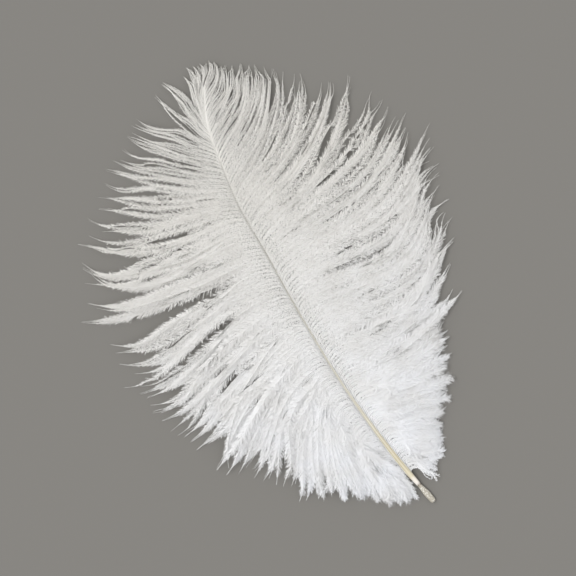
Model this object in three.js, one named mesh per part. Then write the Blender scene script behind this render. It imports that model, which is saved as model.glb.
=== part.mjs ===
// A white ostrich plume lying flat, with the grooved underside of its shaft up.
//
// The plume grew as one branching piece. It is split at its main forks: the shaft, and the two vanes of
// barbs that leave it on either side. Units are millimetres and +Z is up. Places in the plan are given as
// [across, along]: across runs to the right and along runs from the cut end of the quill to the tip.
// The finished group is moved so that its origin is under the middle of its bounding box.
import * as THREE from 'three';
import { mergeVertices } from 'three/addons/utils/BufferGeometryUtils.js';

// ---------------------------------------------------------------- driving dimensions
const SHAFT_END = 172; // along: the shaft stops here, inside the last barbs
const SHAFT_GAP = 0.3; // clear space between the shaft and each vane
const SHAFT_STEPS = 44; // sections lofted along the shaft
const NOTCH_START = 0.6; // share of a lock's length after which it is free of its neighbours
const LOCK_ROWS = [0, 0.15, 0.3, 0.45, NOTCH_START, 0.75, 0.9, 1];
const LOCK_EDGE_THICKNESS = 1.2; // at the tips of the locks
const VANE_TIP_SPREAD = 1.5; // root length given to the first and the last lock beyond their own root

// The shaft seen from above: it bows to the left and comes back to the right near the tip.
const SHAFT_LINE = [
  [0, -0.5], [-4.7, 20], [-9.3, 50], [-11.4, 80], [-12.1, 108], [-12.4, 128], [-10.2, 150], [-8, 161],
  [-3.2, SHAFT_END],
];

// Along, width, height and centre height of the shaft: the paddle of the quill, its neck, then the taper.
const SHAFT_SIZES = [
  [-0.5, 2.4, 1.6, 0.8],
  [1.5, 2.8, 2.0, 1.0],
  [4.3, 2.8, 2.1, 1.2],
  [7.2, 2.0, 1.9, 1.5],
  [10, 2.2, 2.0, 2.0],
  [30, 2.0, 1.8, 3.2],
  [50, 1.6, 1.5, 3.3],
  [75, 1.2, 1.2, 3.2],
  [100, 0.8, 0.9, 2.9],
  [120, 0.6, 0.7, 2.6],
  [150, 0.45, 0.5, 2.1],
  [SHAFT_END, 0.4, 0.4, 1.6],
];
const GROOVE_START = 14; // along: the groove in the top of the shaft begins here
const GROOVE_DEPTH = 0.12; // share of the shaft's height

// Along at the root, and the angle in degrees between the barbs and the +along direction where they leave.
const LEFT_LEAVE_ANGLE = [[13, 85], [35, 66], [60, 60], [115, 58], [140, 42], [SHAFT_END, 12]];
const RIGHT_LEAVE_ANGLE = [[13, 80], [35, 60], [60, 55], [120, 48], [155, 40], [SHAFT_END, 12]];

// Along at the root, and the top of the vane beside the shaft. The downy base stands highest.
const VANE_HEIGHT = [[12, 3.5], [25, 6], [60, 5.5], [100, 4.2], [150, 3], [SHAFT_END, 2.2]];

// The locks of each vane from the base to the tip: root along, tip [across, along], and the angle in
// degrees, from +along and away from the shaft, at which the lock reaches its tip.
const LEFT_LOCKS = [
  [17, [-7, 3.5], 193], [25, [-15, 6], 188], [33, [-24, 12], 165], [40, [-32, 16], 136],
  [47, [-42, 21], 130], [53, [-49, 32], 123], [60, [-55, 39], 114], [66, [-65, 45], 118],
  [73, [-70, 60], 98], [79, [-74, 68], 90], [85, [-76, 79], 70], [90, [-81, 89], 62],
  [95, [-80, 101], 55], [103, [-84, 117], 55], [110, [-77, 129], 50], [117, [-73, 137], 25],
  [123, [-68, 144], 40], [128, [-60, 152], 45], [134, [-54, 158], 33], [139, [-46, 165], 37],
  [145, [-38, 170], 26], [151, [-32, 174], 28], [155, [-22, 178], 18], [159, [-17, 181], 33],
  [163, [-9, 181], 25], [168, [-2.6, 181], 10],
];
const RIGHT_LOCKS = [
  [14, [6, 6], 145], [19, [12, 14], 114], [28, [15, 22], 113], [36, [22, 30], 104],
  [43, [27, 37], 105], [50, [31, 45], 84], [57, [34, 52], 84], [65, [44.7, 63], 62],
  [71, [46, 74], 54], [79, [51.3, 81.5], 70], [86, [56, 91], 72], [92, [56, 97.5], 75],
  [97, [60, 108], 84], [103, [63.6, 123], 55], [108, [55, 130], 58], [113, [50, 140], 48],
  [118, [44.5, 152], 38], [123, [38, 154], 27], [129, [31, 162], 12], [136, [23, 167], 18],
  [143, [17, 171], 17], [152, [13, 173], 16], [160, [8, 175], 18], [167, [3, 179], 6],
];

// ---------------------------------------------------------------- small helpers
// Reads a table whose rows start with a place along the shaft, between the rows where it needs to be.
function readTable(table, along, column = 1) {
  let row = 1;
  while (row < table.length - 1 && along > table[row][0]) row += 1;
  const [low, high] = [table[row - 1], table[row]];
  const share = THREE.MathUtils.clamp((along - low[0]) / (high[0] - low[0]), 0, 1);
  return THREE.MathUtils.lerp(low[column], high[column], share);
}

const shaftCurve = new THREE.SplineCurve(SHAFT_LINE.map(([x, y]) => new THREE.Vector2(x, y)));

// The point of the shaft's centre line at a place along it, and its direction there.
function shaftAt(along) {
  let [low, high] = [0, 1];
  for (let step = 0; step < 24; step += 1) {
    const middle = (low + high) / 2;
    if (shaftCurve.getPoint(middle).y < along) low = middle;
    else high = middle;
  }
  return { point: shaftCurve.getPoint(low), direction: shaftCurve.getTangent(low) };
}

// A closed body keeps one vertex at each place, and gets its own flat-shaded normals.
function closeBody(geometry) {
  geometry.deleteAttribute('normal');
  geometry.deleteAttribute('uv');
  const merged = mergeVertices(geometry, 1e-5);
  merged.computeVertexNormals();
  return merged;
}

// ---------------------------------------------------------------- the shaft
// A round section with a shallow groove in its top, one unit wide and one unit high.
function shaftSection() {
  const points = [];
  const sides = 14;
  for (let side = 0; side < sides; side += 1) {
    const angle = Math.PI / 2 + (side / sides) * 2 * Math.PI;
    points.push(new THREE.Vector2(Math.cos(angle) / 2, Math.sin(angle) / 2));
  }
  return new THREE.Shape(points);
}

// The straight extrusion is bent along the shaft's line and scaled to the width and height it has there.
function makeShaft() {
  const settings = { depth: 1, steps: SHAFT_STEPS, bevelEnabled: false };
  const geometry = new THREE.ExtrudeGeometry(shaftSection(), settings);
  const position = geometry.attributes.position;
  for (let i = 0; i < position.count; i += 1) {
    const along = THREE.MathUtils.lerp(SHAFT_LINE[0][1], SHAFT_END, position.getZ(i));
    const { point, direction } = shaftAt(along);
    const width = readTable(SHAFT_SIZES, along, 1);
    const height = readTable(SHAFT_SIZES, along, 2);
    const middle = readTable(SHAFT_SIZES, along, 3);
    const sideways = -position.getX(i) * width;
    const isGroove = position.getY(i) > 0.49 && along > GROOVE_START;
    const lift = (position.getY(i) - (isGroove ? GROOVE_DEPTH : 0)) * height;
    position.setXYZ(i, point.x + direction.y * sideways, point.y - direction.x * sideways, middle + lift);
  }
  return closeBody(geometry);
}

// ---------------------------------------------------------------- the vanes
// The line a barb follows in the plan: it leaves the shaft forwards and bends to reach its tip.
function barbCurve(side, root, tip, arriveAngle) {
  const leaveAngle = side < 0 ? LEFT_LEAVE_ANGLE : RIGHT_LEAVE_ANGLE;
  const { point, direction } = shaftAt(root);
  const clear = readTable(SHAFT_SIZES, root, 1) / 2 + SHAFT_GAP;
  const start = new THREE.Vector2(point.x + side * direction.y * clear, point.y - side * direction.x * clear);
  const end = new THREE.Vector2(tip[0], tip[1]);
  const reach = start.distanceTo(end);
  const heading = (degrees) => {
    const angle = THREE.MathUtils.degToRad(degrees);
    return new THREE.Vector2(side * Math.sin(angle), Math.cos(angle));
  };
  const leave = start.clone().addScaledVector(heading(readTable(leaveAngle, root)), 0.25 * reach);
  const arrive = end.clone().addScaledVector(heading(arriveAngle), -0.42 * reach);
  return new THREE.CubicBezierCurve(start, leave, arrive, end);
}

// Halfway between two locks, or past the end of the vane where there is no second lock.
function curveBetween(side, lock, next, spread) {
  if (!next) return barbCurve(side, lock[0] + spread, lock[1], lock[2]);
  const tip = [(lock[1][0] + next[1][0]) / 2, (lock[1][1] + next[1][1]) / 2];
  return barbCurve(side, (lock[0] + next[0]) / 2, tip, (lock[2] + next[2]) / 2);
}

function vaneTop(root, share) {
  const full = readTable(VANE_HEIGHT, root);
  return THREE.MathUtils.lerp(full, LOCK_EDGE_THICKNESS, Math.pow(share, 1.3));
}

// One vane: a plate with a flat underside, whose top falls from the shaft to the tips of the locks. Each
// lock is three lines wide. Neighbours share a line up to NOTCH_START and taper to their own tips after it.
function makeVane(side, locks) {
  const plan = [];
  const heights = [];
  const triangles = [];
  const addVertex = (point, root, share) => {
    plan.push(point);
    heights.push(vaneTop(root, share));
    return plan.length - 1;
  };

  let sharedLine = null;
  locks.forEach((lock, i) => {
    const centre = barbCurve(side, lock[0], lock[1], lock[2]);
    const before = curveBetween(side, lock, locks[i - 1], -VANE_TIP_SPREAD);
    const after = curveBetween(side, lock, locks[i + 1], VANE_TIP_SPREAD);
    const middleLine = LOCK_ROWS.map((share) => addVertex(centre.getPoint(share), lock[0], share));
    const tipVertex = middleLine[middleLine.length - 1];
    const edgeLine = (edge, shared) => LOCK_ROWS.map((share, row) => {
      if (share === 1) return tipVertex;
      if (shared && share <= NOTCH_START) return shared[row];
      const taper = Math.max(0, (share - NOTCH_START) / (1 - NOTCH_START));
      const point = edge.getPoint(share).lerp(centre.getPoint(share), taper);
      return addVertex(point, lock[0], share);
    });
    const lowLine = edgeLine(before, sharedLine);
    const highLine = edgeLine(after, null);
    [[lowLine, middleLine], [middleLine, highLine]].forEach(([a, b]) => {
      for (let row = 0; row < LOCK_ROWS.length - 1; row += 1) {
        triangles.push([a[row], b[row + 1], b[row]]);
        if (a[row + 1] !== b[row + 1]) triangles.push([a[row], a[row + 1], b[row + 1]]);
      }
    });
    sharedLine = highLine;
  });
  return closePlate(plan, heights, triangles, side);
}

// Copies the top down to z = 0, turned over, and walls every edge that only one triangle has.
function closePlate(plan, heights, triangles, side) {
  const count = plan.length;
  const vertices = [];
  plan.forEach((point, i) => vertices.push(point.x, point.y, heights[i]));
  plan.forEach((point) => vertices.push(point.x, point.y, 0));
  const index = [];
  const addTriangle = (a, b, c) => index.push(...(side > 0 ? [a, b, c] : [a, c, b]));
  const openEdges = new Map();
  triangles.forEach(([a, b, c]) => {
    addTriangle(a, b, c);
    addTriangle(a + count, c + count, b + count);
    [[a, b], [b, c], [c, a]].forEach(([from, to]) => {
      if (!openEdges.delete(`${to},${from}`)) openEdges.set(`${from},${to}`, [from, to]);
    });
  });
  openEdges.forEach(([from, to]) => {
    addTriangle(from, to + count, to);
    addTriangle(from, from + count, to + count);
  });
  const geometry = new THREE.BufferGeometry();
  geometry.setAttribute('position', new THREE.Float32BufferAttribute(vertices, 3));
  geometry.setIndex(index);
  geometry.computeVertexNormals();
  return geometry;
}

// ---------------------------------------------------------------- the plume
const horn = new THREE.MeshStandardMaterial({ color: 0xe6dcc4, roughness: 0.45, metalness: 0 });
const down = new THREE.MeshStandardMaterial({ color: 0xf2f1ee, roughness: 0.85, metalness: 0 });

function addPiece(group, name, geometry, material) {
  const mesh = new THREE.Mesh(geometry, material);
  mesh.name = name;
  group.add(mesh);
}

const plume = new THREE.Group();
addPiece(plume, 'shaft', makeShaft(), horn);
addPiece(plume, 'left_vane', makeVane(-1, LEFT_LOCKS), down);
addPiece(plume, 'right_vane', makeVane(1, RIGHT_LOCKS), down);

const box = new THREE.Box3().setFromObject(plume);
const middle = box.getCenter(new THREE.Vector3());
plume.position.set(-middle.x, -middle.y, -box.min.z);

export default plume;
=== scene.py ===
# %% [markdown]
# # A white ostrich plume
#
# The plume lies flat with the grooved underside of its shaft up. It has a horny shaft, and on each side of
# the shaft a vane of about 240 barbs, with loose downy ones between them at the base. Each barb is a thin
# stem, the ramus, with two rows of fine loose barbules. Ostrich barbules have no hooks, so neighbouring barbs
# only cling together in soft wisps.
#
# The CAD frame holds the shaft and a plate for each vane. Here the shaft is made again with its groove and
# its colours, and each plate is replaced by barbs. Hair curves could draw them too, but a model that is
# exported as meshes loses its hair. So the barbs are meshes from the start, and their hundreds of thousands
# of small faces are worked out as arrays, which is fast.

import bpy
import numpy as np
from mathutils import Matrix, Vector


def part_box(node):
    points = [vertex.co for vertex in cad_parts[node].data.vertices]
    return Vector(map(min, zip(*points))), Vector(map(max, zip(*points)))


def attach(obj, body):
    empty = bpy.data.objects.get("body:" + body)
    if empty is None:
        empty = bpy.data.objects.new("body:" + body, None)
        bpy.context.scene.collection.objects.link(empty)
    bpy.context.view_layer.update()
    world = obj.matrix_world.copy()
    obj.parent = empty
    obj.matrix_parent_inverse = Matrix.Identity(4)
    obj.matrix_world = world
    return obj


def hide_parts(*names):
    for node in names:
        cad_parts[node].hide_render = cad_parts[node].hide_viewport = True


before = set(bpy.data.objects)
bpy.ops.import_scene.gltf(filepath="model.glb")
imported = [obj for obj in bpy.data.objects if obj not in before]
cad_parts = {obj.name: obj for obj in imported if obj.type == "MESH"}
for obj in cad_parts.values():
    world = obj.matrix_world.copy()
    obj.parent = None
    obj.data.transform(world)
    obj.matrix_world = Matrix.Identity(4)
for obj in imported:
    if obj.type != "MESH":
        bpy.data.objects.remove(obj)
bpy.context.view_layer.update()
print("nodes:", sorted(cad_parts))

# %% [markdown]
# All sizes below are in millimetres on the plan of the plume: across runs to the right, and along runs from
# the cut end of the quill to the tip. The CAD model is centred on its own box, so two known points of the
# left vane, its widest and its farthest lock tip, give the shift between the plan and the row frame.

# %% From the plan to the row frame
MM = 0.001
WIDEST_TIP_ACROSS = -84
FARTHEST_TIP_ALONG = 181

left_low, left_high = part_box("left_vane")
SHIFT = np.array([left_low.x / MM - WIDEST_TIP_ACROSS, left_high.y / MM - FARTHEST_TIP_ALONG, 0.0])
print("shift of the plan, mm:", SHIFT.round(2))


def to_frame(points):
    """Plan points in mm, as an array of (across, along, height), become metres in the row frame."""
    return (np.asarray(points, float) + SHIFT) * MM


# %% [markdown]
# ## The line of the shaft
#
# The shaft bows to the left and comes back to the right near the tip. A few points give its line, which keeps
# within about a millimetre of the CAD shaft. A curve object could follow them, but the barbs are rooted on
# the same line and have to read it at any place. So a Catmull-Rom curve, which passes through all its points,
# is worked out once as a dense array, and the shaft and the barbs both look it up there.

# %% The shaft's centre line
SHAFT_LINE = [
    (-0.1, -0.9), (-4.95, 20), (-9.55, 50), (-11.65, 80), (-12.4, 108), (-13.2, 128), (-11.1, 150),
    (-9.1, 161), (-4.2, 172),
]
SHAFT_END = 172


def through_points(points, per_span=24):
    """A dense line along the Catmull-Rom curve through the points."""
    p = np.array(points, float)
    p = np.vstack([2 * p[0] - p[1], p, 2 * p[-1] - p[-2]])
    t = np.linspace(0, 1, per_span, endpoint=False)[:, None]
    spans = []
    for a, b, c, d in zip(p[:-3], p[1:-2], p[2:-1], p[3:]):
        spans.append(0.5 * (2 * b + (c - a) * t + (2 * a - 5 * b + 4 * c - d) * t**2
                            + (3 * b - a - 3 * c + d) * t**3))
    return np.vstack(spans + [p[-2:-1]])


shaft_line = through_points(SHAFT_LINE)
shaft_slope = np.gradient(shaft_line[:, 0], shaft_line[:, 1])


def shaft_across(along):
    return np.interp(along, shaft_line[:, 1], shaft_line[:, 0])


print("shaft length, mm:", round(float(np.hypot(*np.diff(shaft_line, axis=0).T).sum()), 1))

# %% [markdown]
# The shaft is widest at the quill, is pinched above it, and thins out from the down to the tip. What changes
# along the plume is given like this all through the file: as rows of (place, value), with straight lines
# between them.

# %% The shaft's width
SHAFT_WIDTH = [(-0.9, 1.8), (0, 2.15), (3, 2.45), (5, 1.95), (6.5, 1.5), (8.5, 1.75), (10.5, 1.9), (14, 2.2),
               (24, 2.0), (38, 1.6), (52, 1.15), (75, 0.85), (105, 0.7), (125, 0.55), (150, 0.35),
               (172, 0.15)]


def table_at(table, at):
    """Reads a table of (place, value) rows at one place or at an array of places."""
    rows = np.array(table, float)
    return np.interp(at, rows[:, 0], rows[:, 1])


print("shaft width at the down and near the tip, mm:", table_at(SHAFT_WIDTH, [24, 150]))

# %% [markdown]
# ## Colours and materials
#
# Feathers are keratin, the same stuff as horn. Keratin is creamy and slightly glossy where it is thick, as in
# the quill, and it looks white where it is drawn out to fine threads full of air. Colours are given as sRGB
# hex values, and one function makes them linear for the shader.
#
# A material is a small tree of nodes. They could be placed by hand in the shader editor. In a script, one
# function that adds a node, sets it and links it keeps each step of the recipe to one statement.

# %% Helpers for materials
KERATIN_IOR = 1.54  # paper fibres have nearly the same


def colour(hex_value):
    """sRGB hex, such as #F2F0EA, to linear RGBA."""
    parts = [int(hex_value[i : i + 2], 16) / 255 for i in (1, 3, 5)]
    linear = [c / 12.92 if c <= 0.04045 else ((c + 0.055) / 1.055) ** 2.4 for c in parts]
    return (*linear, 1.0)


def new_material(name, roughness, specular=0.5):
    """A material with one Principled shader."""
    material = bpy.data.materials.new(name)
    material.use_nodes = True
    shader = material.node_tree.nodes["Principled BSDF"]
    shader.inputs["Roughness"].default_value = roughness
    shader.inputs["IOR"].default_value = KERATIN_IOR
    shader.inputs["Specular IOR Level"].default_value = specular
    print("material:", name)
    return material, shader


def add_node(material, kind, settings=None, links=None):
    """Adds a node, sets it, and links its inputs to sockets, or to the first outputs of other nodes.

    Inputs go by their name or number, and other settings by the name of the property. The setting "stops"
    holds the (place, colour) rows of a colour ramp.
    """
    node = material.node_tree.nodes.new(kind)
    for name, value in (settings or {}).items():
        if name == "stops":
            elements = node.color_ramp.elements
            while len(elements) < len(value):
                elements.new(1.0)
            for element, (place, shade) in zip(elements, value):
                element.position = place
                element.color = shade
        elif isinstance(name, int) or name in node.inputs:
            node.inputs[name].default_value = value
        else:
            setattr(node, name, value)
    for name, source in (links or {}).items():
        socket = source.outputs[0] if isinstance(source, bpy.types.Node) else source
        material.node_tree.links.new(socket, node.inputs[name])
    return node


# %% [markdown]
# ## The shaft
#
# The shaft of a body plume is a rod of horn, squarish in section and filled with white pith. On this side it
# has a groove, which is double near the base and single farther on. The end that sat in the skin is the
# quill: bare, flattened like a small paddle and cut off square, with a dry pinched neck above it.
#
# A curve with a bevel would give a rod too, but its outline would be the same all along. So the rod is
# lofted: an outline with many points across its top, where the groove lies, is set at every half millimetre
# of the quill and every millimetre farther on, and scaled to the width and the thickness there.

# %% The outline of the shaft at each place
SHAFT_MIDDLE = [(-0.9, 0.8), (4, 0.9), (7.2, 1.2), (10, 1.7), (20, 2.6), (30, 2.8), (75, 2.8), (120, 2.2),
                (172, 1.4)]
SHAFT_THICKNESS = [(-0.9, 1.4), (4, 1.6), (7.2, 1.4), (10, 1.8), (30, 1.9), (50, 1.6), (75, 1.2), (100, 0.9),
                   (120, 0.7), (150, 0.45), (172, 0.3)]
GROOVE_PLACE = [(12, 0.46), (36, 0.46), (56, 0)]
GROOVE_HALF_WIDTH = [(12, 0.15), (36, 0.18), (56, 0.25), (120, 0.4), (172, 0.4)]
GROOVE_DEPTH = [(10, 0), (14, 0.1), (50, 0.12), (100, 0.06), (150, 0.02), (172, 0)]
SQUARENESS = 2.6  # 2 gives an oval outline, and more a squarer one
TOP_POINTS = 33
UNDER_POINTS = 11


def shaft_ring(along, scale=1.0):
    """Points of the outline, as (across, height) from the shaft's middle, and their share of the width."""
    half = table_at(SHAFT_WIDTH, along) / 2 * scale
    thick = table_at(SHAFT_THICKNESS, along) / 2 * scale
    top = np.linspace(-1, 1, TOP_POINTS)
    under = np.linspace(1, -1, UNDER_POINTS + 2)[1:-1]
    share = np.concatenate([top, under])
    rise = np.sqrt(np.clip(1 - np.abs(share) ** SQUARENESS, 0, 1)) * thick
    rise[TOP_POINTS:] *= -1
    away = (np.abs(share) - table_at(GROOVE_PLACE, along)) / table_at(GROOVE_HALF_WIDTH, along)
    groove = np.where(np.arange(len(share)) < TOP_POINTS, np.exp(-away**2), 0) * scale
    return share * half, rise - groove * table_at(GROOVE_DEPTH, along), share


print("points of an outline:", len(shaft_ring(20)[0]))

# %% [markdown]
# At the cut end the quill is a thin-walled tube, so the loft starts at the bottom of a short hollow, comes
# out along the inside of the wall and turns over its slightly rounded rim.

# %% The outlines from the cut end to the tip
CUT_END = -0.9
CUT_WALL = 0.25
CUT_DEPTH = 1.6
CUT_RIM = 0.93
CLOSED = 0.02
QUILL_UNTIL = 14


def shaft_steps():
    """The place along the shaft and the scale of every outline."""
    wall = 1 - CUT_WALL / (table_at(SHAFT_WIDTH, CUT_END) / 2)
    hollow = [(CUT_END + CUT_DEPTH, CLOSED), (CUT_END + CUT_DEPTH, wall), (CUT_END + 0.1, wall)]
    places = [*np.arange(CUT_END, QUILL_UNTIL, 0.5)[1:], *np.arange(QUILL_UNTIL, SHAFT_END + 0.1, 1.0)]
    return [*hollow, (CUT_END, CUT_RIM), *((along, 1.0) for along in places), (SHAFT_END + 0.1, CLOSED)]


def fan(ring):
    """Closes a ring of corners with triangles from its first corner."""
    return np.stack([np.full(len(ring) - 2, ring[0]), ring[1:-1], ring[2:]], -1)


def make_shaft():
    """The shaft's vertices in plan mm, its faces, and for each vertex (share of the width, along)."""
    vertices, places = [], []
    steps = shaft_steps()
    for along, scale in steps:
        across, rise, share = shaft_ring(along, scale)
        slope = np.interp(along, shaft_line[:, 1], shaft_slope)
        size = np.sqrt(1 + slope**2)
        vertices.append(np.stack([shaft_across(along) + across / size, along - across * slope / size,
                                  table_at(SHAFT_MIDDLE, along) + rise], -1))
        places.append(np.stack([share, np.full(len(share), along)], -1))
    rings, corners = len(steps), TOP_POINTS + UNDER_POINTS
    index = np.arange(rings * corners).reshape(rings, corners)
    a, b = index[:-1], index[1:]
    a_next, b_next = np.roll(a, -1, axis=1), np.roll(b, -1, axis=1)
    triangles = np.concatenate([np.stack([a, b, b_next], -1).reshape(-1, 3),
                                np.stack([a, b_next, a_next], -1).reshape(-1, 3),
                                fan(index[0]), fan(index[-1][::-1])])
    return np.concatenate(vertices), triangles, np.concatenate(places)


shaft_points, shaft_faces, shaft_places = make_shaft()
print("shaft outlines:", len(shaft_steps()), "vertices:", len(shaft_points))

# %% [markdown]
# ### From arrays to a piece
#
# A mesh could be built face by face with bmesh, which is slow for a vane. Here whole arrays of vertices and
# triangles are copied into the mesh at once. Several pairs of them may be joined in one piece, each with its
# own material. The map is laid flat over the plan and is named OFBake, which the export keeps. The shaft gets
# a map of its own, because its colours follow the shaft.

# %% Joining arrays to one piece


def make_piece(name, sheets, materials, plan_map=None):
    """One mesh from (vertices in plan mm, triangles) pairs, with a material for each pair.

    The map is laid over the plan, or it takes the two numbers that plan_map gives for each vertex.
    """
    mesh = bpy.data.meshes.new(name)
    plan = np.concatenate([vertices for vertices, _ in sheets])
    starts = np.cumsum([0] + [len(vertices) for vertices, _ in sheets])
    faces = np.concatenate([triangles + start for (_, triangles), start in zip(sheets, starts)])
    slots = np.concatenate([np.full(len(triangles), number) for number, (_, triangles) in enumerate(sheets)])
    mesh.vertices.add(len(plan))
    mesh.vertices.foreach_set("co", to_frame(plan).astype(np.float32).ravel())
    mesh.loops.add(faces.size)
    mesh.loops.foreach_set("vertex_index", faces.astype(np.int32).ravel())
    mesh.polygons.add(len(faces))
    mesh.polygons.foreach_set("loop_start", np.arange(0, faces.size, 3, dtype=np.int32))
    mesh.polygons.foreach_set("material_index", slots.astype(np.int32))
    if plan_map is None:
        low, high = plan[:, :2].min(axis=0), plan[:, :2].max(axis=0)
        mesh.uv_layers.new(name="OFBake")
        plan_map = (plan[:, :2] - low) / (high - low)
    else:
        mesh.uv_layers.new(name="shaft_map")
    mesh.uv_layers[0].uv.foreach_set("vector", plan_map[faces.ravel()].astype(np.float32).ravel())
    mesh.update(calc_edges=True)
    for material in materials:
        mesh.materials.append(material)
    piece = bpy.data.objects.new(name, mesh)
    bpy.context.scene.collection.objects.link(piece)
    print(name, "triangles:", len(faces))
    return piece


# %% [markdown]
# ### The finish of the shaft
#
# The shaft is uncoloured horn as it grew, so its look is smooth and satin. Thick horn is straw coloured, and
# it gets whiter as the shaft thins out. The floor of the groove is painted a darker tan: painted shade of the
# groove, which the mesh cuts too shallow to hold. The bare collar above the neck is glossy, and the paddle is
# dry and mottled.
#
# The colours could be painted on an image. Nodes stay sharp at any distance instead: the shaft's map gives
# the share of the width and the place along, and colour ramps turn the place into colours and shares.

# %% Where on the shaft a point lies
MAP_LENGTH = 180.0  # mm of shaft in the whole height of the map
RAMP = "ShaderNodeValToRGB"
horn, horn_shader = new_material("satin horn keratin", 0.42)
shaft_uv = add_node(horn, "ShaderNodeUVMap", {"uv_map": "shaft_map"})
uv_parts = add_node(horn, "ShaderNodeSeparateXYZ", links={"Vector": shaft_uv})
place_along = uv_parts.outputs["Y"]
sideways = add_node(horn, "ShaderNodeMath", {"operation": "SUBTRACT", 1: 0.5}, {0: uv_parts.outputs["X"]})
off_centre = add_node(horn, "ShaderNodeMath", {"operation": "ABSOLUTE"}, {0: sideways})


def stops_along(rows):
    """A ramp's stops from rows of (mm along the shaft, number or hex colour)."""
    return [(along / MAP_LENGTH, colour(value) if isinstance(value, str) else (value, value, value, 1))
            for along, value in rows]


# %% The colour of the rod, from the paddle to the tip
ROD_COLOUR = [(0, "#C6C1B6"), (6.2, "#B6AE9E"), (7.6, "#E2DCD4"), (10.2, "#DED7CC"), (11.2, "#CBC3AB"),
              (20, "#C8C0AA"), (30, "#C6C0B0"), (44, "#CAC7BD"), (110, "#CBC9C4"), (145, "#AEABA4")]
rod = add_node(horn, RAMP, {"stops": stops_along(ROD_COLOUR)}, {"Fac": place_along})
print("colours along the rod:", len(ROD_COLOUR))

# %% [markdown]
# The tan line is painted shade of the groove, darker than the rod, and it lies in the groove. So it is double
# near the base too, and the two lines come together farther on. How far a point lies from the line, as a
# share of the width, fades the line out softly at its edges.

# %% The tan line of painted shade in the groove
# Colours of the painted shade in the groove: a darker tan than the rod around it.
GROOVE_SHADE_COLOUR = [(12, "#A99F80"), (24, "#A4997B"), (34, "#ABA28B"), (48, "#B2AD9F"), (60, "#ABA697"),
               (85, "#A8A395"), (150, "#A09D94")]
GROOVE_SHADE_PLACE = [(along, place / 2) for along, place in GROOVE_PLACE]
GROOVE_SHADE_HALF_WIDTH = [(12, 0.12), (36, 0.14), (56, 0.35), (100, 0.5)]
GROOVE_SHADE_THERE = [(11, 0.0), (15, 1.0), (172, 1.0)]
groove_shade_colour = add_node(horn, RAMP, {"stops": stops_along(GROOVE_SHADE_COLOUR)}, {"Fac": place_along})
groove_shade_place = add_node(horn, RAMP, {"stops": stops_along(GROOVE_SHADE_PLACE)}, {"Fac": place_along})
groove_shade_half = add_node(horn, RAMP, {"stops": stops_along(GROOVE_SHADE_HALF_WIDTH)}, {"Fac": place_along})
groove_shade_there = add_node(horn, RAMP, {"stops": stops_along(GROOVE_SHADE_THERE)}, {"Fac": place_along})
past_groove_shade = add_node(horn, "ShaderNodeMath", {"operation": "SUBTRACT"}, {0: off_centre, 1: groove_shade_place})
from_groove_shade = add_node(horn, "ShaderNodeMath", {"operation": "ABSOLUTE"}, {0: past_groove_shade})
groove_shade_fade = add_node(horn, "ShaderNodeMapRange",
                     {"interpolation_type": "SMOOTHSTEP", "From Min": 0, "To Min": 1, "To Max": 0},
                     {"Value": from_groove_shade, "From Max": groove_shade_half})
# line is the share of the painted groove shade at each point: 1 on the groove's floor, 0 away from it.
line = add_node(horn, "ShaderNodeMath", {"operation": "MULTIPLY"}, {0: groove_shade_fade, 1: groove_shade_there})
print("colours along the line:", len(GROOVE_SHADE_COLOUR))

# %% [markdown]
# The rims of the shaft, where the barbs grow out of it, are as white as the barbs. They begin at about two
# thirds of the half width.

# %% The white rims
RIM_THERE = [(11, 0.0), (15, 0.7), (40, 1.0), (125, 1.0), (145, 0.3)]
RIM_FADE = {"From Min": 0.32, "From Max": 0.44}  # in shares of the whole width
rim_there = add_node(horn, RAMP, {"stops": stops_along(RIM_THERE)}, {"Fac": place_along})
rim_fade = add_node(horn, "ShaderNodeMapRange", {"interpolation_type": "SMOOTHSTEP", **RIM_FADE},
                    {"Value": off_centre})
rim = add_node(horn, "ShaderNodeMath", {"operation": "MULTIPLY"}, {0: rim_fade, 1: rim_there})
print("rims begin at", RIM_FADE["From Min"] * 2, "of the half width")

# %% [markdown]
# The dry paddle is mottled with the ends of pith cells. Real ones are about a tenth of a millimetre wide, and
# these are 0.6 mm, so that they show. Brown specks of old skin stick to the neck, in patches of about 2 mm.

# %% The dry paddle and the specks on its neck
CELL = 0.0006
shaft_place = add_node(horn, "ShaderNodeTexCoord").outputs["Object"]
cells = add_node(horn, "ShaderNodeTexVoronoi", {"Scale": 1 / CELL}, {"Vector": shaft_place})
blotches = add_node(horn, "ShaderNodeTexNoise", {"Scale": 1 / CELL / 3, "Detail": 3.0},
                    {"Vector": shaft_place})
grain = add_node(horn, "ShaderNodeMapRange", {"From Min": 0.15, "From Max": 0.55}, {"Value": cells})
paddle = add_node(horn, "ShaderNodeMix", {"data_type": "RGBA", 6: colour("#DCD9D2"), 7: colour("#A19B8D")},
                  {0: grain})
paddle_there = add_node(horn, RAMP, {"stops": stops_along([(5.6, 1.0), (7.2, 0.0)])}, {"Fac": place_along})
speck_there = add_node(horn, RAMP, {"stops": stops_along([(6.2, 0.0), (6.8, 1.0), (7.2, 1.0), (7.9, 0.0)])},
                       {"Fac": place_along})
speck_fade = add_node(horn, "ShaderNodeMapRange", {"From Min": 0.47, "From Max": 0.58}, {"Value": blotches})
specks = add_node(horn, "ShaderNodeMath", {"operation": "MULTIPLY"}, {0: speck_fade, 1: speck_there})
print("cells on the paddle, mm:", CELL / MM)
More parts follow.
